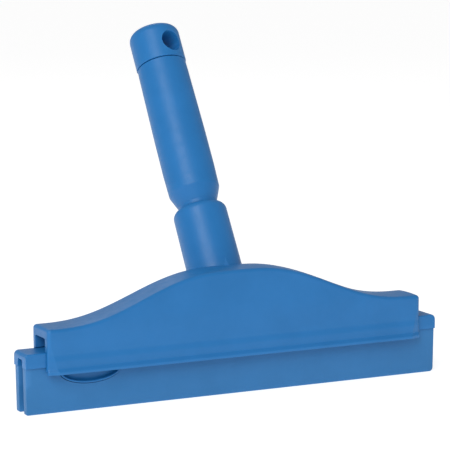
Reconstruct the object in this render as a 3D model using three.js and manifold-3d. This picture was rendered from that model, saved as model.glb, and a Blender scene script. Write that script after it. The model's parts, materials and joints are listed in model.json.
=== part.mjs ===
// Hand squeegee: an arched head that holds a slide-in cassette with two soft blades, and a round
// grip that leans back out of a collar on the head and ends in a cap with a hole to hang it by.
//
// Millimetres. X runs along the blades, -Y is the front and +Z is up. The pieces are laid out
// around the middle of the cassette, with the blade edges at z = 0, and the whole is then moved
// so that the origin is the bottom centre of its bounding box.

import * as THREE from 'three';
import { mergeVertices } from 'three/addons/utils/BufferGeometryUtils.js';
import Module from 'manifold-3d';

const wasm = await Module();
wasm.setup();

// ---------------------------------------------------------------- driving dimensions

const CLEARANCE = 0.3;
const ROUND_SEGMENTS = 64;
const ARC_SEGMENTS = 5;
const OVERSHOOT = 10;

// Cassette: a rigid spine, an upside-down U, with a soft blade under each of its arms.
const CASSETTE_LENGTH = 245;
const SPINE_TOP = 32.2;
const SPINE_BOTTOM = 24.5;
const SPINE_HALF_DEPTH = 8;
const SPINE_WEB = 3.4;
const SPINE_END_RADIUS = 2;
const SPINE_EDGE_RADIUS = 1;
const HALF_GAP = 3;

const BLADE_TOP = SPINE_BOTTOM - 0.4;
const BLADE_TOP_HALF_LENGTH = 122.2;
const BLADE_EDGE_HALF_LENGTH = 121.8;
const BLADE_TOP_OUTER = 7.2;
const BLADE_EDGE_OUTER = 7.1;
const BLADE_EDGE_INNER = 3.2;
const BLADE_LEFT_RADIUS = 0.6;
const BLADE_RIGHT_RADIUS = 2.2;

// Release tab: a shallow oval pad with a raised rim, let into the front blade near its left end.
const TAB_X = -86;
const TAB_TOP = 21.6;
const TAB_HALF_WIDTH = 17.5;
const TAB_HEIGHT = 7.4;
const TAB_RIM_WIDTH = 1.3;
const TAB_RIM_HEIGHT = 0.8;
const TAB_PLATE = 1.2;
const TAB_POCKET_CLEARANCE = 0.4;
const TAB_POCKET_FLOOR = 4.9;

// Head frame: a channel open below and at both ends, under an arch that rises to the collar.
const FRAME_HALF_LENGTH = 111.1;
const FRAME_END_TOP = 44.4;
const FRAME_END_ROUNDING = 2;
const FRAME_CORNER_RADIUS = 3.5;
const ARCH_RISE = 22.8;
const ARCH_FLAT = 3.4;
const ARCH_RUN = 105;
const ARCH_STEPS = 36;
const LIP_BOTTOM = 20.6;
const LIP_HALF_DEPTH = 12.5;
const LIP_LAND = 1.1;
const LIP_INNER = 9.4;
const WAIST_Z = 29;
const WAIST_HALF_DEPTH = 10.9;
const WALL_HALF_DEPTH = 10.6;
const WALL_TAPER = 0.06;
const WALL = 4;
const TOP_WALL = 5;

// Inside of the frame, from the lip up: a bead under the spine, the channel that guides the
// spine, a ledge above it and the hollow under the arch.
const BEAD_BOTTOM = 22.4;
const BEAD_TOP = SPINE_BOTTOM - CLEARANCE;
const BEAD_INNER = 7.6;
const CHANNEL_INNER = SPINE_HALF_DEPTH + CLEARANCE;
const LEDGE_Z = SPINE_TOP + CLEARANCE;
const HOLLOW_HALF_DEPTH = WALL_HALF_DEPTH - WALL;

// Handle axis: it leans back in the YZ plane. Lengths along it are measured from this point.
const AXIS_Y = 11.3;
const AXIS_Z = 47.2;
const LEAN = THREE.MathUtils.degToRad(32.1);

const COLLAR_BOTTOM = -2;
const COLLAR_BOTTOM_RADIUS = 15.2;
const COLLAR_FOOT_ROUNDING = 4;
const COLLAR_TOP = 55.05;
const COLLAR_TOP_RADIUS = 14.85;
const COLLAR_TOP_ROUNDING = 4.25;
const SOCKET_FLOOR = 18;
const SOCKET_RADIUS = 11.2;

const SPIGOT_RADIUS = SOCKET_RADIUS - 0.35;
const SPIGOT_END = SOCKET_FLOOR + 2;
const GRIP_BORE = 11;
const GRIP_BORE_DEPTH = 14.8;
const GRIP_END = 142.8;

const CAP_BOTTOM = GRIP_END + CLEARANCE;
const CAP_TOP = 165.2;
const CAP_RADIUS = 14.2;
const CAP_ROUNDING = 5;
const CAP_PLUG_END = 131;
const HOLE_AT = 152.5;
const HOLE_RADIUS = 6;
const HOLE_TURN = THREE.MathUtils.degToRad(14.3);

const HARD_BLUE = 0x3a7ab8;
const SOFT_BLUE = 0x427eb4;

// ---------------------------------------------------------------- helpers

const X = new THREE.Vector3(1, 0, 0);
const Y = new THREE.Vector3(0, 1, 0);
const Z = new THREE.Vector3(0, 0, 1);

// A solid from a closed geometry, with its shared corners joined and its empty triangles dropped.
function solid(geometry) {
  const bare = geometry.clone();
  bare.deleteAttribute('normal');
  bare.deleteAttribute('uv');
  const merged = mergeVertices(bare, 1e-4);
  const corners = merged.index.array;
  const kept = [];
  for (let i = 0; i < corners.length; i += 3) {
    const [a, b, c] = corners.slice(i, i + 3);
    if (a !== b && b !== c && c !== a) kept.push(a, b, c);
  }
  return new wasm.Manifold(new wasm.Mesh({
    numProp: 3,
    vertProperties: merged.attributes.position.array,
    triVerts: new Uint32Array(kept),
  }));
}

function geometryOf(body) {
  const mesh = body.getMesh();
  const geometry = new THREE.BufferGeometry();
  geometry.setAttribute('position', new THREE.BufferAttribute(mesh.vertProperties, 3));
  geometry.setIndex(new THREE.BufferAttribute(mesh.triVerts, 1));
  geometry.computeVertexNormals();
  return geometry;
}

// Extrudes an outline drawn in (x, z) from y = back towards the front, as far as y = front.
function extrudeToFront(shape, back, front) {
  const geometry = new THREE.ExtrudeGeometry(shape, {
    depth: back - front,
    bevelEnabled: false,
    curveSegments: ARC_SEGMENTS,
  });
  const basis = new THREE.Matrix4().makeBasis(X, Z, Y.clone().negate());
  return solid(geometry.applyMatrix4(basis).translate(0, back, 0));
}

// Extrudes a section drawn in (y, z) along X, evenly about x = 0.
function extrudeAlong(shape, length) {
  const geometry = new THREE.ExtrudeGeometry(shape, {
    depth: length,
    bevelEnabled: false,
    curveSegments: ARC_SEGMENTS,
  });
  const basis = new THREE.Matrix4().makeBasis(Y, Z, X);
  return solid(geometry.applyMatrix4(basis).translate(-length / 2, 0, 0));
}

function shapeFrom(points) {
  return new THREE.Shape(points.map(([u, v]) => new THREE.Vector2(u, v)));
}

// The outline from points on one side only, given from the bottom up, mirrored to the other side.
function mirroredShape(half) {
  const left = half.map(([u, v]) => [-u, v]).reverse();
  return shapeFrom([...half, ...left]);
}

// A quarter or smaller arc about (u, v), as points from one angle to another, in degrees.
function arc(u, v, radius, from, to) {
  const points = [];
  for (let i = 0; i <= ARC_SEGMENTS; i += 1) {
    const angle = THREE.MathUtils.degToRad(from + ((to - from) * i) / ARC_SEGMENTS);
    points.push([u + radius * Math.cos(angle), v + radius * Math.sin(angle)]);
  }
  return points;
}

// A turned body about the local Y axis, from [radius, distance along the axis] points.
function turned(points) {
  const profile = points.map(([radius, along]) => new THREE.Vector2(radius, along));
  return new THREE.LatheGeometry(profile, ROUND_SEGMENTS);
}

// From the handle's own frame, Y along its axis and Z towards the front, to the part's frame.
function toHandle(geometry) {
  return geometry.rotateX(Math.PI / 2 - LEAN).translate(0, AXIS_Y, AXIS_Z);
}

function named(name, geometry, color, roughness) {
  const material = new THREE.MeshStandardMaterial({ color, roughness, metalness: 0 });
  const mesh = new THREE.Mesh(geometry, material);
  mesh.name = name;
  return mesh;
}

// ---------------------------------------------------------------- head frame

// Height of the arch above the flat ends: one at the middle, easing to zero at both ends.
function archShare(x) {
  const t = THREE.MathUtils.clamp((Math.abs(x) - ARCH_FLAT) / ARCH_RUN, 0, 1);
  return 1 - THREE.MathUtils.smootherstep(t, 0, 1);
}

// Front view of the frame: flat below, arched above, drop lowering the arch by a wall thickness.
function archOutline(halfLength, bottom, drop) {
  const radius = FRAME_END_ROUNDING;
  const u = halfLength - radius;
  const endTop = FRAME_END_TOP - drop;
  const arch = [];
  for (let i = 1; i < ARCH_STEPS; i += 1) {
    const x = u * (1 - (2 * i) / ARCH_STEPS);
    arch.push([x, endTop + ARCH_RISE * archShare(x)]);
  }
  return shapeFrom([
    [-halfLength, bottom],
    [halfLength, bottom],
    ...arc(u, endTop - radius, radius, 0, 90),
    ...arch,
    ...arc(-u, endTop - radius, radius, 90, 180),
  ]);
}

// End view of the frame's outside: a flared lip, an almost upright wall, then a taper.
function outerSection() {
  const top = FRAME_END_TOP + ARCH_RISE + OVERSHOOT;
  return mirroredShape([
    [LIP_HALF_DEPTH, LIP_BOTTOM],
    [LIP_HALF_DEPTH, LIP_BOTTOM + LIP_LAND],
    [(LIP_HALF_DEPTH + WAIST_HALF_DEPTH) / 2 - 0.3, (LIP_BOTTOM + WAIST_Z) / 2],
    [WAIST_HALF_DEPTH, WAIST_Z],
    [WALL_HALF_DEPTH, FRAME_END_TOP],
    [WALL_HALF_DEPTH - WALL_TAPER * (top - FRAME_END_TOP), top],
  ]);
}

// End view of the frame's inside, from below the lip to above the arch.
function innerSection() {
  const top = FRAME_END_TOP + ARCH_RISE;
  return mirroredShape([
    [LIP_INNER, LIP_BOTTOM - OVERSHOOT],
    [LIP_INNER, BEAD_BOTTOM],
    [BEAD_INNER, BEAD_BOTTOM],
    [BEAD_INNER, BEAD_TOP],
    [CHANNEL_INNER, BEAD_TOP],
    [CHANNEL_INNER, LEDGE_Z],
    [HOLLOW_HALF_DEPTH, LEDGE_Z],
    [HOLLOW_HALF_DEPTH, FRAME_END_TOP],
    [HOLLOW_HALF_DEPTH - WALL_TAPER * (top - FRAME_END_TOP), top],
  ]);
}

// Top view of the frame: its outer corners are rounded.
function planSection() {
  const u = FRAME_HALF_LENGTH - FRAME_CORNER_RADIUS;
  const v = LIP_HALF_DEPTH - FRAME_CORNER_RADIUS;
  return shapeFrom([
    ...arc(u, v, FRAME_CORNER_RADIUS, 0, 90),
    ...arc(-u, v, FRAME_CORNER_RADIUS, 90, 180),
    ...arc(-u, -v, FRAME_CORNER_RADIUS, 180, 270),
    ...arc(u, -v, FRAME_CORNER_RADIUS, 270, 360),
  ]);
}

function collar() {
  const foot = COLLAR_FOOT_ROUNDING;
  const top = COLLAR_TOP_ROUNDING;
  return solid(toHandle(turned([
    [0, COLLAR_BOTTOM],
    ...arc(COLLAR_BOTTOM_RADIUS - foot, COLLAR_BOTTOM + foot, foot, -90, 0),
    ...arc(COLLAR_TOP_RADIUS - top, COLLAR_TOP - top, top, 0, 90),
    [0, COLLAR_TOP],
  ])));
}

function socket() {
  return solid(toHandle(turned([
    [0, SOCKET_FLOOR],
    [SOCKET_RADIUS, SOCKET_FLOOR],
    [SOCKET_RADIUS, COLLAR_TOP + OVERSHOOT],
    [0, COLLAR_TOP + OVERSHOOT],
  ])));
}

function headFrame() {
  const height = FRAME_END_TOP + ARCH_RISE;
  const upright = new THREE.ExtrudeGeometry(planSection(), { depth: height, bevelEnabled: false });
  const reach = LIP_HALF_DEPTH + OVERSHOOT;
  const outside = extrudeToFront(archOutline(FRAME_HALF_LENGTH, LIP_BOTTOM, 0), reach, -reach)
    .intersect(extrudeAlong(outerSection(), 2 * FRAME_HALF_LENGTH))
    .intersect(solid(upright));
  const length = FRAME_HALF_LENGTH + OVERSHOOT;
  const inside = extrudeToFront(archOutline(length, LIP_BOTTOM - OVERSHOOT, TOP_WALL), reach, -reach)
    .intersect(extrudeAlong(innerSection(), 2 * length));
  const body = outside.add(collar()).subtract(inside).subtract(socket());
  return named('head_frame', geometryOf(body), HARD_BLUE, 0.42);
}

// ---------------------------------------------------------------- cassette

function cassetteSpine() {
  const half = CASSETTE_LENGTH / 2;
  const cornerX = half - SPINE_END_RADIUS;
  const cornerZ = SPINE_TOP - SPINE_END_RADIUS;
  const front = shapeFrom([
    [-half, SPINE_BOTTOM],
    [half, SPINE_BOTTOM],
    ...arc(cornerX, cornerZ, SPINE_END_RADIUS, 0, 90),
    ...arc(-cornerX, cornerZ, SPINE_END_RADIUS, 90, 180),
  ]);
  const edgeY = SPINE_HALF_DEPTH - SPINE_EDGE_RADIUS;
  const edgeZ = SPINE_TOP - SPINE_EDGE_RADIUS;
  const section = mirroredShape([
    [HALF_GAP, SPINE_TOP - SPINE_WEB],
    [HALF_GAP, SPINE_BOTTOM],
    [SPINE_HALF_DEPTH, SPINE_BOTTOM],
    ...arc(edgeY, edgeZ, SPINE_EDGE_RADIUS, 0, 90),
  ]);
  const body = extrudeToFront(front, OVERSHOOT, -OVERSHOOT)
    .intersect(extrudeAlong(section, CASSETTE_LENGTH));
  return named('cassette_spine', geometryOf(body), HARD_BLUE, 0.45);
}

// Front view of a blade: it narrows a little downwards, and its lower corners are rounded, the
// left one only just.
function bladeOutline() {
  const left = BLADE_LEFT_RADIUS;
  const right = BLADE_RIGHT_RADIUS;
  return shapeFrom([
    [-BLADE_TOP_HALF_LENGTH, BLADE_TOP],
    ...arc(left - BLADE_EDGE_HALF_LENGTH, left, left, 180, 270),
    ...arc(BLADE_EDGE_HALF_LENGTH - right, right, right, 270, 360),
    [BLADE_TOP_HALF_LENGTH, BLADE_TOP],
  ]);
}

// One blade; side is -1 for the front and 1 for the rear.
function blade(side) {
  const points = [
    [HALF_GAP, BLADE_TOP],
    [BLADE_EDGE_INNER, 0],
    [BLADE_EDGE_OUTER, 0],
    [BLADE_TOP_OUTER, BLADE_TOP],
  ];
  const section = shapeFrom(points.map(([y, z]) => [side * y, z]));
  return extrudeToFront(bladeOutline(), OVERSHOOT, -OVERSHOOT)
    .intersect(extrudeAlong(section, 2 * BLADE_TOP_HALF_LENGTH));
}

// The lower half of an ellipse, grown evenly by the given margin.
function tabOutline(margin) {
  const shape = new THREE.Shape();
  const top = TAB_TOP + margin;
  shape.absellipse(TAB_X, top, TAB_HALF_WIDTH + margin, TAB_HEIGHT + 2 * margin, Math.PI, 2 * Math.PI);
  return shape;
}

function frontBlade() {
  const pocket = extrudeToFront(tabOutline(TAB_POCKET_CLEARANCE), -TAB_POCKET_FLOOR, -OVERSHOOT);
  return named('front_blade', geometryOf(blade(-1).subtract(pocket)), SOFT_BLUE, 0.55);
}

function rearBlade() {
  return named('rear_blade', geometryOf(blade(1)), SOFT_BLUE, 0.55);
}

function releaseTab() {
  const face = -BLADE_TOP_OUTER;
  const rim = face - TAB_RIM_HEIGHT;
  const pad = extrudeToFront(tabOutline(0), face + TAB_PLATE, rim);
  const dish = extrudeToFront(tabOutline(-TAB_RIM_WIDTH), face, rim - OVERSHOOT);
  return named('release_tab', geometryOf(pad.subtract(dish)), HARD_BLUE, 0.45);
}

// ---------------------------------------------------------------- handle

// The grip, outside from the cap down to the neck and the spigot, then the bore for the cap's plug.
function handleGrip() {
  const profile = [
    [GRIP_BORE, GRIP_END],
    [13.75, GRIP_END],
    [13.9, 137],
    [14.2, 122],
    [14.4, 98],
    [14.45, 76],
    [14.3, 68],
    [14, 64.6],
    [13.1, 62.4],
    [12.1, 60.4],
    [11.2, 58.4],
    [SPIGOT_RADIUS, 56.4],
    [SPIGOT_RADIUS, SPIGOT_END + 1],
    [SPIGOT_RADIUS - 1, SPIGOT_END],
    [0, SPIGOT_END],
    [0, GRIP_END - GRIP_BORE_DEPTH],
    [GRIP_BORE, GRIP_END - GRIP_BORE_DEPTH],
    [GRIP_BORE, GRIP_END],
  ];
  return named('handle_grip', geometryOf(solid(turned(profile.reverse()))), HARD_BLUE, 0.4);
}

function endCap() {
  const plug = GRIP_BORE - CLEARANCE;
  const body = solid(turned([
    [0, CAP_PLUG_END],
    [plug - 1, CAP_PLUG_END],
    [plug, CAP_PLUG_END + 1],
    [plug, CAP_BOTTOM],
    [CAP_RADIUS, CAP_BOTTOM],
    ...arc(CAP_RADIUS - CAP_ROUNDING, CAP_TOP - CAP_ROUNDING, CAP_ROUNDING, 0, 90),
    [0, CAP_TOP],
  ]));
  const drill = new THREE.CylinderGeometry(HOLE_RADIUS, HOLE_RADIUS, 4 * CAP_RADIUS, ROUND_SEGMENTS / 2)
    .rotateX(Math.PI / 2)
    .rotateY(HOLE_TURN)
    .translate(0, HOLE_AT, 0);
  return named('end_cap', geometryOf(body.subtract(solid(drill))), HARD_BLUE, 0.4);
}

// ---------------------------------------------------------------- assembly

const handle = new THREE.Group();
handle.rotation.x = Math.PI / 2 - LEAN;
handle.position.set(0, AXIS_Y, AXIS_Z);
handle.add(handleGrip(), endCap());

const squeegee = new THREE.Group();
squeegee.add(headFrame(), cassetteSpine(), frontBlade(), rearBlade(), releaseTab(), handle);

const box = new THREE.Box3().setFromObject(squeegee, true);
squeegee.position.y = -(box.min.y + box.max.y) / 2;
squeegee.updateMatrixWorld(true);

export default squeegee;
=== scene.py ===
"""Hand squeegee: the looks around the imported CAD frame.

Shapes are worked out in millimetres around the middle of the cassette, with the wiping edges at
z = 0, and each mesh is moved into the CAD frame, in metres, as it is made.
"""

import json
import math

import bmesh
import bpy
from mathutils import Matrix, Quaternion, Vector


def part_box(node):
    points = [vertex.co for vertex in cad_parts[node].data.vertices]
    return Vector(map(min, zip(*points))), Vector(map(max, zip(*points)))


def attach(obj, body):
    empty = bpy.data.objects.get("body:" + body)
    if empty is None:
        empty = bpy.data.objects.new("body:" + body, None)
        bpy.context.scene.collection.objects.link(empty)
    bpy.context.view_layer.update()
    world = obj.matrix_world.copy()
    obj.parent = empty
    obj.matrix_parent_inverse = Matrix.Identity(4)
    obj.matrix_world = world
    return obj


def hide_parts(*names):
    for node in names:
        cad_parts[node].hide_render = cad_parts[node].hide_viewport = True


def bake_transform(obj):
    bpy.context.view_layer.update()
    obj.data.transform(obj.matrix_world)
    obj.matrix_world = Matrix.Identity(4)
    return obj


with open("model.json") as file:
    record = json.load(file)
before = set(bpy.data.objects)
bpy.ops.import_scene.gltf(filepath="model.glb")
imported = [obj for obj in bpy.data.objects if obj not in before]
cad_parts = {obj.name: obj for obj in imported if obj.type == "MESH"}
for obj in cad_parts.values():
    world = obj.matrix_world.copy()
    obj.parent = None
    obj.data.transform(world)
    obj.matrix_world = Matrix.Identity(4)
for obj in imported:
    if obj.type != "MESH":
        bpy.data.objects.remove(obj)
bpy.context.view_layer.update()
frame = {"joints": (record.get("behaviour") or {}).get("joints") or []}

MM = 0.001
JOINTS = {joint["name"]: joint for joint in frame["joints"]}
MIDDLE = Vector((0, sum(corner.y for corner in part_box("cassette_spine")) / 2, 0))


def node_box(node):
    """Lowest and highest corner of a CAD node, in millimetres around the cassette's middle."""
    low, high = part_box(node)
    return (low - MIDDLE) / MM, (high - MIDDLE) / MM


# The grip's axis points up and back; SIDE and BACK are square to it.
AXIS_POINT = (Vector(JOINTS["handle_unscrew"]["pos_m"]) - MIDDLE) / MM
AXIS = Vector(JOINTS["handle_unscrew"]["axis"]).normalized()
SIDE = Vector((1, 0, 0))
BACK = AXIS.cross(SIDE)

HEAD_LOW, HEAD_HIGH = node_box("head_frame")
SPINE_LOW, SPINE_HIGH = node_box("cassette_spine")
BLADE_HIGH = node_box("front_blade")[1]
TAB_LOW, TAB_HIGH = node_box("release_tab")

# Head frame, in millimetres. Half depths are measured along y from the cassette's middle.
# The top edge, from the flat ends to the middle of the arch.
END_TOP = 44.4
ARCH_RISE = 22.8
ARCH_FLAT = 3.4
ARCH_RUN = 105
EDGE_RADIUS = 1.9
CROWN = 0.3
# The outside: upright down to the waist, a flare down to FLARE_Z, and the lip from LIP_TOP down.
WALL_HALF_DEPTH = 10.6
WALL_TAPER = 0.06
WAIST_Z = 31.2
FLARE_Z = 27
FLARE_HALF_DEPTH = 11.2
LIP_TOP = 23.9
LIP_Z = 21.9
LIP_HALF_DEPTH = 12.5
LIP_EDGE = 0.35
# The end corners.
END_RADIUS = 1.8
CORNER_CUT_TOP = 36
CORNER_CUT_LENGTH = 5
CORNER_CUT_DEPTH = 1.7
# The inside: a hollow over a channel for the spine, a bead that holds the spine, and the lip.
TOP_WALL = 5
CEILING_ROUNDING = 1
LIP_INNER = 9.4
HOLLOW_HALF_DEPTH = 6.6
CHANNEL_HALF_DEPTH = 8.3
LEDGE_Z = 32.5
BEAD_HALF_DEPTH = 7.6
BEAD_BOTTOM = 22.4
BEAD_TOP = 24.2
HEAD_STATIONS = 72

# Collar, in millimetres along the axis and out from it; the hollow under the arch runs on into it.
COLLAR_FOOT = -2
COLLAR_FOOT_RADIUS = 15.2
COLLAR_FOOT_ROUNDING = 4
COLLAR_TAPER_START = 5
COLLAR_SHOULDER = 50.8
COLLAR_TOP_RADIUS = 14.85
COLLAR_TOP_ROUNDING = 4.25
COLLAR_HOLLOW_HALF_LENGTH = 30
COLLAR_HOLLOW_BOTTOM = 30
COLLAR_HOLLOW_TOP = 61.5
SOCKET_RADIUS = 11.2
SOCKET_FLOOR = 30
SOCKET_MOUTH = 54.4
SOCKET_CUT_END = 60

# Cassette, in millimetres. The blades' rows lie closest at the wiping edge and at the root.
SPINE_END_RADIUS = 2
SPINE_SLOT_HALF_DEPTH = 3
SPINE_WEB = 3.4
SPINE_ROW = 27
SPINE_CHAMFER = 0.8
BLADE_OUTER = 7.1
BLADE_INNER = 3.2
BLADE_OUTER_DRAFT = 0.1
BLADE_INNER_DRAFT = -0.2
BLADE_END_DRAFT = 0.4
BLADE_LEFT_RADIUS = 0.6
BLADE_RIGHT_RADIUS = 2.2
BLADE_ROWS = (
    0, 0.12, 0.35, 0.7, 1.1, 1.6, 2.2, 4, 7, 10, 13, 16, 19,
    21.6, 22.2, 22.8, 23.4, 24.1, SPINE_LOW.z,
)
BLADE_COLUMNS = 60
POCKET_CLEARANCE = 0.35
POCKET_FLOOR = 4.2
TAB_BACK = 5.2

# Grip and cap, in millimetres along the axis and out from it. The mouth of the hanging hole is
# given as (distance from the axis, how much wider than the hole).
SPIGOT_START = 31
SPIGOT_RADIUS = 10.85
NECK_START = 57
NECK_END = 65
GRIP_RADIUS = 14.45
GRIP_END = 142.8
GRIP_BORE = 10.6
GRIP_BORE_FLOOR = 128
CAP_BOTTOM = 143.1
CAP_TOP = 165.18
CAP_RADIUS = 14.18
CAP_TOP_ROUNDING = 5
CAP_FOOT_ROUNDING = 0.45
PLUG_RADIUS = 10.2
PLUG_LENGTH = 6
HOLE_AT = 152.5
HOLE_RADIUS = 6
HOLE_TURN = math.radians(14.3)
HOLE_MOUTH = ((12.9, 0), (13.6, 0.15), (14.3, 0.75), (20, 0.9))

# Camera in degrees and metres, with its lens in millimetres, and floor in metres.
CAMERA_TURN, CAMERA_FALL, CAMERA_DISTANCE = 26.71, 12.393, 1.3014
LOOK_TURN, LOOK_FALL, LOOK_ROLL = 26.545, 8.472, -0.17
CAMERA_LENS = 192.6
FLOOR_HALF = 12

HARD_BLUE = (0.012, 0.16, 0.435)
SOFT_BLUE = (0.022, 0.165, 0.41)


# ---------------------------------------------------------------- mesh helpers


def new_piece(name, points, faces):
    """A mesh object from points in millimetres around the cassette's middle."""
    mesh = bpy.data.meshes.new(name)
    mesh.from_pydata([Vector(p) * MM + MIDDLE for p in points], [], faces)
    made = bmesh.new()
    made.from_mesh(mesh)
    bmesh.ops.recalc_face_normals(made, faces=made.faces)
    made.to_mesh(mesh)
    made.free()
    piece = bpy.data.objects.new(name, mesh)
    bpy.context.scene.collection.objects.link(piece)
    return piece


def apply_modifiers(piece):
    """Replaces the piece's mesh with what its modifiers make of it."""
    evaluated = piece.evaluated_get(bpy.context.evaluated_depsgraph_get())
    mesh = bpy.data.meshes.new_from_object(evaluated)
    piece.modifiers.clear()
    piece.data = mesh


def combine(piece, other, operation):
    """Adds another mesh to the piece, or cuts it away, and drops that other mesh."""
    modifier = piece.modifiers.new("combine", "BOOLEAN")
    modifier.operation = operation
    modifier.solver = "EXACT"
    modifier.object = other
    apply_modifiers(piece)
    bpy.data.objects.remove(other)


def round_edges(piece, width, segments=3, angle=40):
    """Rounds the edges whose faces meet at more than the angle, by a width in millimetres."""
    modifier = piece.modifiers.new("round", "BEVEL")
    modifier.width = width * MM
    modifier.segments = segments
    modifier.limit_method = "ANGLE"
    modifier.angle_limit = math.radians(angle)
    modifier.use_clamp_overlap = True
    apply_modifiers(piece)


def shade(piece, angle=32, weighted=True):
    """Smooth shading between sharp edges, with each face's normal weighted by its size."""
    piece.data.shade_smooth()
    piece.data.set_sharp_from_angle(angle=math.radians(angle))
    if weighted:
        piece.modifiers.new("normals", "WEIGHTED_NORMAL").keep_sharp = True
        apply_modifiers(piece)


def loft(name, rings):
    """A closed solid through rings that have the same number of points, capped at both ends."""
    count = len(rings[0])
    points = [p for ring in rings for p in ring]
    faces = []
    for i in range(len(rings) - 1):
        for j in range(count):
            k = (j + 1) % count
            a, b = i * count, (i + 1) * count
            faces.append((a + j, a + k, b + k, b + j))
    faces.append(tuple(range(count)))
    faces.append(tuple(range((len(rings) - 1) * count, len(rings) * count)))
    return new_piece(name, points, faces)


def rounded_line(corners, steps=6):
    """A line of [u, v, radius] corners with each corner rounded to its radius."""
    line = []
    last = len(corners) - 1
    for i, (u, v, radius) in enumerate(corners):
        here = Vector((u, v))
        if i in (0, last) or radius == 0:
            line.append(here)
            continue
        before = Vector(corners[i - 1][:2]) - here
        after = Vector(corners[i + 1][:2]) - here
        turn = math.pi - before.angle(after)
        reach = min(radius * math.tan(turn / 2), 0.49 * before.length, 0.49 * after.length)
        true_radius = reach / math.tan(turn / 2)
        inwards = (before.normalized() + after.normalized()).normalized()
        centre = here + inwards * (true_radius / math.cos(turn / 2))
        start = here + before.normalized() * reach - centre
        end = here + after.normalized() * reach - centre
        first = math.atan2(start.y, start.x)
        sweep = (math.atan2(end.y, end.x) - first + math.pi) % (2 * math.pi) - math.pi
        for step in range(steps + 1):
            angle = first + sweep * step / steps
            line.append(centre + Vector((math.cos(angle), math.sin(angle))) * true_radius)
    return line


def along_axis(radius, angle, along):
    """A point around the grip's axis, from its radius, turn and distance along the axis."""
    outward = SIDE * math.cos(angle) + BACK * math.sin(angle)
    return AXIS_POINT + AXIS * along + outward * radius


def turned(name, profile, segments=96):
    """A solid turned about the grip's axis from a profile whose ends both lie on the axis."""
    inner = profile[1:-1]
    points = [along_axis(0, 0, profile[0][1]), along_axis(0, 0, profile[-1][1])]
    for radius, along in inner:
        for i in range(segments):
            points.append(along_axis(radius, 2 * math.pi * i / segments, along))
    faces = []
    for i in range(segments):
        k = (i + 1) % segments
        faces.append((0, 2 + i, 2 + k))
        top = 2 + (len(inner) - 1) * segments
        faces.append((1, top + k, top + i))
        for j in range(len(inner) - 1):
            a, b = 2 + j * segments, 2 + (j + 1) * segments
            faces.append((a + i, b + i, b + k, a + k))
    return new_piece(name, points, faces)


def box(name, low, high):
    """A plain box between two corners."""
    points = [
        (x, y, z) for x in (low[0], high[0]) for y in (low[1], high[1]) for z in (low[2], high[2])
    ]
    faces = [(0, 1, 3, 2), (4, 6, 7, 5), (0, 4, 5, 1), (2, 3, 7, 6), (0, 2, 6, 4), (1, 5, 7, 3)]
    return new_piece(name, points, faces)


# ---------------------------------------------------------------- materials


def moulded(name, colour, roughness, grain, sheen=0.0, streaks=(1, 1, 1)):
    """Moulded plastic: fine grain, soft blotches of gloss and colour, and paler edges, partly wear
    and partly a painted highlight.
    """
    material = bpy.data.materials.new(name)
    material.use_nodes = True
    tree = material.node_tree
    nodes, links = tree.nodes, tree.links
    shader = nodes["Principled BSDF"]
    shader.inputs["Metallic"].default_value = 0.0
    shader.inputs["IOR"].default_value = 1.49
    shader.inputs["Specular IOR Level"].default_value = 0.36
    shader.inputs["Sheen Weight"].default_value = sheen
    shader.inputs["Sheen Roughness"].default_value = 0.5
    place = nodes.new("ShaderNodeTexCoord").outputs["Object"]

    def noise(scale, detail, source=place):
        texture = nodes.new("ShaderNodeTexNoise")
        texture.inputs["Scale"].default_value = scale
        texture.inputs["Detail"].default_value = detail
        texture.inputs["Roughness"].default_value = 0.6
        links.new(source, texture.inputs["Vector"])
        return texture.outputs["Fac"]

    def spread(value, low, high, dark, light):
        ramp = nodes.new("ShaderNodeMapRange")
        for name, number in zip(
            ("From Min", "From Max", "To Min", "To Max"), (low, high, dark, light)
        ):
            ramp.inputs[name].default_value = number
        links.new(value, ramp.inputs["Value"])
        return ramp.outputs["Result"]

    def mixed(factor, first, second):
        mix = nodes.new("ShaderNodeMix")
        mix.data_type = "RGBA"
        links.new(factor, mix.inputs["Factor"])
        for socket, value in ((mix.inputs[6], first), (mix.inputs[7], second)):
            if isinstance(value, tuple):
                socket.default_value = (*value, 1.0)
            else:
                links.new(value, socket)
        return mix.outputs[2]

    deep = tuple(c * 0.955 for c in colour)
    pale = tuple(min(1.0, c * 1.03 + 0.002) for c in colour)
    # Sharp edges are painted paler: partly wear, partly a painted highlight along the edges.
    worn_and_highlit = tuple(min(1.0, c * 1.25 + 0.03) for c in colour)
    blotches = mixed(spread(noise(38, 3), 0.35, 0.65, 0, 1), deep, pale)
    geometry = nodes.new("ShaderNodeNewGeometry")
    edges = spread(geometry.outputs["Pointiness"], 0.52, 0.6, 0, 0.45)
    links.new(mixed(edges, blotches, worn_and_highlit), shader.inputs["Base Color"])

    stretch = nodes.new("ShaderNodeMapping")
    stretch.inputs["Scale"].default_value = streaks
    links.new(place, stretch.inputs["Vector"])
    rubbed = noise(260, 4, stretch.outputs["Vector"])
    links.new(
        spread(rubbed, 0.3, 0.7, roughness - 0.05, roughness + 0.06), shader.inputs["Roughness"]
    )

    skin = nodes.new("ShaderNodeBump")
    skin.inputs["Strength"].default_value = grain
    skin.inputs["Distance"].default_value = 0.00006
    links.new(noise(2600, 2), skin.inputs["Height"])
    ripple = nodes.new("ShaderNodeBump")
    ripple.inputs["Strength"].default_value = grain * 0.6
    ripple.inputs["Distance"].default_value = 0.0004
    links.new(noise(150, 2), ripple.inputs["Height"])
    links.new(skin.outputs["Normal"], ripple.inputs["Normal"])
    links.new(ripple.outputs["Normal"], shader.inputs["Normal"])
    return material


hard = moulded("hard_blue_moulding", HARD_BLUE, 0.4, 0.35)
grip_skin = moulded("grip_moulding", HARD_BLUE, 0.42, 0.45)
soft = moulded("soft_blue_rubber", SOFT_BLUE, 0.52, 0.5, sheen=0.06, streaks=(0.15, 1, 1))


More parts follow.
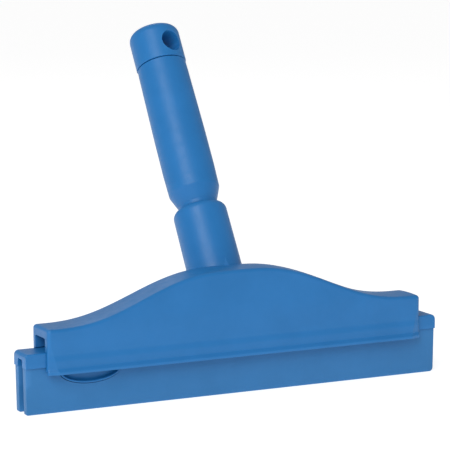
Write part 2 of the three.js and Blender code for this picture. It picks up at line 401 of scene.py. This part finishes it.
def dress(piece, material):
    """Gives the piece its one material, in its only slot."""
    piece.data.materials.clear()
    piece.data.materials.append(material)


# ---------------------------------------------------------------- head frame


def arch_top(x):
    """Height of the frame's top edge at x: flat ends, and an arch that eases up to the middle."""
    t = min(1.0, max(0.0, (abs(x) - ARCH_FLAT) / ARCH_RUN))
    return END_TOP + ARCH_RISE * (1 - t**3 * (t * (6 * t - 15) + 10))


def ease(start, end, z):
    """How far z has come from the start to the end, eased at both: 0 before, 1 beyond."""
    share = min(1.0, max(0.0, (z - start) / (end - start)))
    return share * share * (3 - 2 * share)


def half_depth(z):
    """Half the frame's depth at height z. Going down from the upright wall, the face flares out at
    the waist and again into the lip."""
    depth = WALL_HALF_DEPTH - WALL_TAPER * max(0.0, z - END_TOP)
    depth += (FLARE_HALF_DEPTH - WALL_HALF_DEPTH) * ease(WAIST_Z, FLARE_Z, z)
    return depth + (LIP_HALF_DEPTH - FLARE_HALF_DEPTH) * ease(LIP_TOP, LIP_Z, z)


def corner_share(z):
    """How far the end corner is cut back at height z: not above the cut's top, fully at the lip."""
    return min(1.0, max(0.0, (CORNER_CUT_TOP - z) / (CORNER_CUT_TOP - HEAD_LOW.z)))


def end_corner(share):
    """Top view of the end corner, as (distance from the end, inset): a slanting cut that grows
    towards the lip, and then a rounded edge."""
    length, depth = CORNER_CUT_LENGTH * share, CORNER_CUT_DEPTH * share
    radius = END_RADIUS * (1 - 0.5 * share)
    corner = [
        (radius + length + 0.15, 0),
        (radius + 0.97 * length, 0.03 * depth),
        (radius + 0.5 * length, 0.5 * depth),
    ]
    for step in range(4):
        angle = math.pi / 2 * step / 3
        corner.append((radius * (1 - math.sin(angle)), depth + radius * (1 - math.cos(angle))))
    return corner


def outer_half(top):
    """The section's outside at the rear, from the lip up to the crown, as
    (y, z, outward y, outward z, share of the corner cut)."""
    bottom = HEAD_LOW.z
    points = [
        (LIP_HALF_DEPTH - LIP_EDGE, bottom, 1, 0, corner_share(bottom)),
        (LIP_HALF_DEPTH - 0.1, bottom + 0.1, 1, 0, corner_share(bottom)),
    ]
    shoulder = top - EDGE_RADIUS
    levels = [bottom + LIP_EDGE]
    for low, high, rows in (
        (LIP_Z, LIP_TOP, 6), (LIP_TOP, FLARE_Z, 4), (FLARE_Z, WAIST_Z, 8), (WAIST_Z, shoulder, 7)
    ):
        levels += [low + (high - low) * i / rows for i in range(rows)]
    levels.append(shoulder)
    points += [(half_depth(z), z, 1, 0, corner_share(z)) for z in levels]
    corner = half_depth(shoulder) - EDGE_RADIUS
    for i in range(1, 7):
        angle = math.pi / 2 * i / 6
        outward = math.cos(angle), math.sin(angle)
        points.append((
            corner + EDGE_RADIUS * outward[0],
            shoulder + EDGE_RADIUS * outward[1],
            *outward,
            0,
        ))
    for share in (0.66, 0.33):
        points.append((corner * share, top + CROWN * (1 - share**2), 0, 1, 0))
    return points


def inner_half(top):
    """The section's inside at the rear, from the ceiling down to the lip, as (y, z)."""
    ceiling = top - TOP_WALL
    side = HOLLOW_HALF_DEPTH - WALL_TAPER * max(0.0, ceiling - END_TOP)
    return [
        (side - CEILING_ROUNDING, ceiling),
        (side - 0.3 * CEILING_ROUNDING, ceiling - 0.3 * CEILING_ROUNDING),
        (side, ceiling - CEILING_ROUNDING),
        (HOLLOW_HALF_DEPTH, LEDGE_Z + 0.2),
        (HOLLOW_HALF_DEPTH + 0.2, LEDGE_Z),
        (CHANNEL_HALF_DEPTH, LEDGE_Z),
        (CHANNEL_HALF_DEPTH, BEAD_TOP),
        (BEAD_HALF_DEPTH, BEAD_TOP),
        (BEAD_HALF_DEPTH, BEAD_BOTTOM),
        (LIP_INNER, BEAD_BOTTOM),
        (LIP_INNER, HEAD_LOW.z),
    ]


def frame_ring(x, step=None):
    """The whole section at x; a step takes its outside round the end corner."""
    side = 1 if x > 0 else -1
    top = arch_top(x)
    outside = []
    for y, z, out_y, out_z, share in outer_half(top) + [(0, top + CROWN, 0, 1, 0)]:
        at = x
        if step is not None:
            distance, inset = end_corner(share)[step]
            at = side * (HEAD_HIGH.x - distance)
            y, z = y - inset * out_y, z - inset * out_z
        outside.append((at, y, z))
    crown = outside.pop()
    inside = [(crown[0], y, z) for y, z in inner_half(top)]
    outside_front = [(at, -y, z) for at, y, z in reversed(outside)]
    inside_front = [(at, -y, z) for at, y, z in reversed(inside)]
    return [*outside, crown, *outside_front, *inside_front, *inside]


def collar():
    """The solid collar: rounded at its foot, slightly tapered, and rounded over at the top."""
    taper = (COLLAR_FOOT_RADIUS - COLLAR_TOP_RADIUS) / (COLLAR_SHOULDER - COLLAR_TAPER_START)
    corner = COLLAR_TOP_RADIUS - COLLAR_TOP_ROUNDING
    profile = [(0, COLLAR_FOOT)]
    profile += rounded_line([
        (0.5, COLLAR_FOOT, 0),
        (COLLAR_FOOT_RADIUS, COLLAR_FOOT, COLLAR_FOOT_ROUNDING),
        (COLLAR_FOOT_RADIUS, COLLAR_TAPER_START, 0),
    ])
    profile += [
        (COLLAR_FOOT_RADIUS - taper * (along - COLLAR_TAPER_START), along)
        for along in range(COLLAR_TAPER_START + 3, int(COLLAR_SHOULDER), 3)
    ]
    profile.append((COLLAR_TOP_RADIUS, COLLAR_SHOULDER))
    for step in range(1, 11):
        angle = math.pi / 2 * step / 10
        profile.append((
            corner + COLLAR_TOP_ROUNDING * math.cos(angle),
            COLLAR_SHOULDER + COLLAR_TOP_ROUNDING * math.sin(angle),
        ))
    profile.append((0, COLLAR_SHOULDER + COLLAR_TOP_ROUNDING))
    return turned("collar", profile)


def socket():
    """What the collar's bore takes away, with a chamfer at its mouth."""
    return turned("socket", [
        (0, SOCKET_FLOOR),
        (SOCKET_RADIUS, SOCKET_FLOOR),
        (SOCKET_RADIUS, SOCKET_MOUTH),
        (SOCKET_RADIUS + 0.5, SOCKET_MOUTH + 0.6),
        (SOCKET_RADIUS + 0.6, SOCKET_CUT_END),
        (0, SOCKET_CUT_END),
    ])


def head_piece():
    """The arched frame and its collar, in one moulding."""
    corner_steps = range(len(end_corner(0)))
    reach = HEAD_HIGH.x - CORNER_CUT_LENGTH - END_RADIUS - 1
    rings = [frame_ring(-reach, step) for step in reversed(corner_steps)]
    rings += [frame_ring(reach * (2 * i / HEAD_STATIONS - 1)) for i in range(HEAD_STATIONS + 1)]
    rings += [frame_ring(reach, step) for step in corner_steps]
    head = loft("head", rings)
    stub = collar()
    low = (-COLLAR_HOLLOW_HALF_LENGTH, -HOLLOW_HALF_DEPTH, COLLAR_HOLLOW_BOTTOM)
    high = (COLLAR_HOLLOW_HALF_LENGTH, HOLLOW_HALF_DEPTH, COLLAR_HOLLOW_TOP)
    combine(stub, box("hollow", low, high), "DIFFERENCE")
    combine(head, stub, "UNION")
    combine(head, socket(), "DIFFERENCE")
    shade(head)
    dress(head, hard)
    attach(head, "head")
    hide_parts("head_frame")


# ---------------------------------------------------------------- cassette


def spine_ring(x):
    """The spine's upside-down U at x, lower near the ends, where its top rounds over."""
    over = max(0.0, abs(x) - (SPINE_HIGH.x - SPINE_END_RADIUS))
    top = SPINE_HIGH.z - SPINE_END_RADIUS + math.sqrt(max(0.0, SPINE_END_RADIUS**2 - over**2))
    depth, gap, cut = SPINE_HIGH.y, SPINE_SLOT_HALF_DEPTH, SPINE_CHAMFER
    bottom, ceiling = SPINE_LOW.z, SPINE_HIGH.z - SPINE_WEB
    rear = [
        (0, top), (depth - cut, top), (depth - 0.25, top - 0.25), (depth, top - cut),
        (depth, SPINE_ROW), (depth, bottom), (gap, bottom), (gap, ceiling - cut),
        (gap - cut, ceiling),
    ]
    front = [(-y, z) for y, z in reversed(rear[1:])]
    return [(x, y, z) for y, z in rear + front]


def spine_piece():
    """The rigid spine that both blades hang from."""
    half = SPINE_HIGH.x
    ends = [half - SPINE_END_RADIUS * (1 - math.sin(math.radians(a))) for a in range(0, 91, 15)]
    middle = [half - SPINE_END_RADIUS - 12 * i for i in range(1, 21)]
    stations = [-x for x in reversed(ends)] + sorted(x for x in middle if abs(x) < half - 3) + ends
    spine = loft("spine", [spine_ring(x) for x in stations])
    round_edges(spine, 0.25, 2)
    shade(spine, 40)
    dress(spine, hard)
    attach(spine, "cassette")
    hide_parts("cassette_spine")


def tab_ring(inset, y):
    """The release tab's outline, the lower half of an ellipse, drawn in by the inset."""
    centre = (TAB_LOW.x + TAB_HIGH.x) / 2
    half, height = (TAB_HIGH.x - TAB_LOW.x) / 2, TAB_HIGH.z - TAB_LOW.z
    steps = 48
    ring = []
    for i in range(steps + 1):
        angle = math.pi + math.pi * i / steps
        ring.append((
            centre + (half - inset) * math.cos(angle),
            y,
            TAB_HIGH.z + (height - inset) * math.sin(angle),
        ))
    return ring


def blade_end(z, radius):
    """How far a blade reaches along x at height z, with its lower corner rounded."""
    half = BLADE_HIGH.x - BLADE_END_DRAFT * (1 - z / SPINE_LOW.z)
    if z < radius:
        half -= radius - math.sqrt(radius**2 - (radius - z) ** 2)
    return half


def blade_piece(name, side, node):
    """A blade, split into rows."""
    count = BLADE_COLUMNS + 1
    rings = []
    for z in BLADE_ROWS:
        left, right = -blade_end(z, BLADE_LEFT_RADIUS), blade_end(z, BLADE_RIGHT_RADIUS)
        outer = side * (BLADE_OUTER + BLADE_OUTER_DRAFT * z / SPINE_LOW.z)
        inner = side * (BLADE_INNER + BLADE_INNER_DRAFT * z / SPINE_LOW.z)
        xs = [left + (right - left) * i / BLADE_COLUMNS for i in range(count)]
        rings.append([(x, outer, z) for x in xs] + [(x, inner, z) for x in reversed(xs)])
    around = 2 * count
    faces = []
    for start in range(0, (len(rings) - 1) * around, around):
        for j in range(around):
            k = (j + 1) % around
            faces.append((start + j, start + k, start + around + k, start + around + j))
    for ring in (0, (len(rings) - 1) * around):
        for j in range(BLADE_COLUMNS):
            faces.append((ring + j, ring + j + 1, ring + around - 2 - j, ring + around - 1 - j))
    piece = new_piece(name, [p for ring in rings for p in ring], faces)
    round_edges(piece, 0.3, 3, 50)
    if side < 0:
        pocket = [tab_ring(-POCKET_CLEARANCE, y) for y in (-POCKET_FLOOR, SPINE_LOW.y - 2)]
        combine(piece, loft("pocket", pocket), "DIFFERENCE")
    shade(piece, weighted=False)
    dress(piece, soft)
    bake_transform(piece)
    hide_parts(node)


def tab_piece():
    """The release tab: a shallow oval dish with a raised, rounded rim, seen below the lip."""
    rim = TAB_LOW.y
    profile = [
        (0, -TAB_BACK), (0, rim + 0.45), (0.12, rim + 0.2), (0.35, rim + 0.04), (0.6, rim),
        (0.85, rim + 0.04), (1.1, rim + 0.2), (1.3, rim + 0.6), (1.5, rim + 1.2),
        (1.9, rim + 1.8), (2.8, rim + 2.1), (4, rim + 2.2),
    ]
    tab = loft("release_tab_pad", [tab_ring(inset, y) for inset, y in profile])
    shade(tab, 45)
    dress(tab, hard)
    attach(tab, "release_tab")
    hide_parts("release_tab")


# ---------------------------------------------------------------- grip and cap


def grip_piece():
    """The grip: its spigot in the collar, the neck, a gentle swell, and a bore for the cap."""
    outside = rounded_line([
        (SPIGOT_RADIUS - 1, SPIGOT_START, 0), (SPIGOT_RADIUS, SPIGOT_START + 1, 0),
        (SPIGOT_RADIUS, NECK_START, 2), (GRIP_RADIUS - 0.3, NECK_END, 4), (GRIP_RADIUS, 78, 40),
        (GRIP_RADIUS - 0.05, 100, 60), (GRIP_RADIUS - 0.55, 137, 0),
        (GRIP_RADIUS - 0.7, GRIP_END, 0.4), (GRIP_BORE, GRIP_END, 0),
    ], 8)
    profile = [(0, SPIGOT_START), *outside, (GRIP_BORE, GRIP_BORE_FLOOR), (0, GRIP_BORE_FLOOR)]
    grip = turned("grip", profile, 128)
    shade(grip, 40)
    dress(grip, grip_skin)
    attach(grip, "handle")
    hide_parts("handle_grip")


def cross_hole():
    """What the hanging hole takes away: a bore across the cap that opens out at both mouths."""
    direction = BACK * math.cos(HOLE_TURN) - SIDE * math.sin(HOLE_TURN)
    across = direction.cross(AXIS)
    centre = AXIS_POINT + AXIS * HOLE_AT
    sections = [(-along, wider) for along, wider in reversed(HOLE_MOUTH)] + list(HOLE_MOUTH)
    turns = [2 * math.pi * i / 64 for i in range(64)]
    rings = []
    for along, wider in sections:
        middle, radius = centre + direction * along, HOLE_RADIUS + wider
        rings.append([middle + (across * math.cos(a) + AXIS * math.sin(a)) * radius for a in turns])
    return loft("drill", rings)


def cap_piece():
    """The cap on the grip's end, with its plug and the hanging hole."""
    profile = [
        (0, CAP_BOTTOM - PLUG_LENGTH),
        (PLUG_RADIUS, CAP_BOTTOM - PLUG_LENGTH),
        (PLUG_RADIUS, CAP_BOTTOM),
        *rounded_line([
            (PLUG_RADIUS + 0.2, CAP_BOTTOM, 0), (CAP_RADIUS, CAP_BOTTOM, CAP_FOOT_ROUNDING),
            (CAP_RADIUS, CAP_TOP, CAP_TOP_ROUNDING), (4, CAP_TOP, 0),
        ], 10),
        (0, CAP_TOP),
    ]
    cap = turned("end_cap_shell", profile, 128)
    combine(cap, cross_hole(), "DIFFERENCE")
    shade(cap, 40)
    dress(cap, grip_skin)
    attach(cap, "handle")
    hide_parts("end_cap")


head_piece()
spine_piece()
blade_piece("front_blade_skin", -1, "front_blade")
blade_piece("rear_blade_skin", 1, "rear_blade")
tab_piece()
grip_piece()
cap_piece()


# ---------------------------------------------------------------- camera, floor and light


def heading(turn, fall):
    """The direction that turns right of straight back and falls below the horizon, in degrees."""
    turn, fall = math.radians(turn), math.radians(fall)
    level = math.cos(fall)
    return Vector((math.sin(turn) * level, math.cos(turn) * level, -math.sin(fall)))


def add_camera():
    """A long lens at the front left, a little above the head."""
    camera = bpy.data.objects.new("camera", bpy.data.cameras.new("camera"))
    bpy.context.scene.collection.objects.link(camera)
    bpy.context.scene.camera = camera
    camera.data.sensor_width = 36
    camera.data.lens = CAMERA_LENS
    camera.location = MIDDLE - heading(CAMERA_TURN, CAMERA_FALL) * CAMERA_DISTANCE
    roll = Quaternion((0, 0, 1), math.radians(LOOK_ROLL))
    look = heading(LOOK_TURN, LOOK_FALL).to_track_quat("-Z", "Y")
    camera.rotation_euler = (look @ roll).to_euler()


def add_floor():
    """A pale matt floor that glows a little, so that it stays white all the way back."""
    half = FLOOR_HALF
    mesh = bpy.data.meshes.new("floor")
    mesh.from_pydata(
        [(-half, -half, 0), (half, -half, 0), (half, half, 0), (-half, half, 0)], [], [(0, 1, 2, 3)]
    )
    floor = bpy.data.objects.new("floor", mesh)
    bpy.context.scene.collection.objects.link(floor)
    material = bpy.data.materials.new("pale_floor")
    material.use_nodes = True
    shader = material.node_tree.nodes["Principled BSDF"]
    shader.inputs["Base Color"].default_value = (0.45, 0.45, 0.45, 1)
    shader.inputs["Emission Color"].default_value = (1, 1, 1, 1)
    shader.inputs["Emission Strength"].default_value = 0.75
    shader.inputs["Roughness"].default_value = 0.9
    mesh.materials.append(material)


def add_light(name, place, target, size, power):
    """A round soft light at the place, aimed at the target; sizes in metres, power in watts."""
    light = bpy.data.lights.new(name, "AREA")
    light.shape = "DISK"
    light.size = size
    light.energy = power
    lamp = bpy.data.objects.new(name, light)
    bpy.context.scene.collection.objects.link(lamp)
    lamp.location = place
    lamp.rotation_euler = (Vector(target) - Vector(place)).to_track_quat("-Z", "Y").to_euler()


def add_world(front, back):
    """White studio surroundings, brighter in front of the object than behind it."""
    world = bpy.data.worlds.new("studio")
    bpy.context.scene.world = world
    world.use_nodes = True
    nodes, links = world.node_tree.nodes, world.node_tree.links
    background = nodes["Background"]
    background.inputs["Color"].default_value = (1, 1, 1, 1)
    direction = nodes.new("ShaderNodeSeparateXYZ")
    links.new(nodes.new("ShaderNodeTexCoord").outputs["Generated"], direction.inputs["Vector"])
    level = nodes.new("ShaderNodeMapRange")
    level.interpolation_type = "SMOOTHSTEP"
    ends = {"From Min": -0.7, "From Max": 0.7, "To Min": front, "To Max": back}
    for name, value in ends.items():
        level.inputs[name].default_value = value
    links.new(direction.outputs["Y"], level.inputs["Value"])
    links.new(level.outputs["Result"], background.inputs["Strength"])


add_camera()
add_floor()
add_light("key", place=(-1.1, -1.02, 1.24), target=(0, 0, 0.07), size=1.3, power=20)
add_light("rim", place=(0.3, 1.3, 1.2), target=(0, 0, 0.1), size=0.8, power=2)
add_world(front=0.46, back=0.42)
bpy.context.scene.view_settings.view_transform = "Standard"
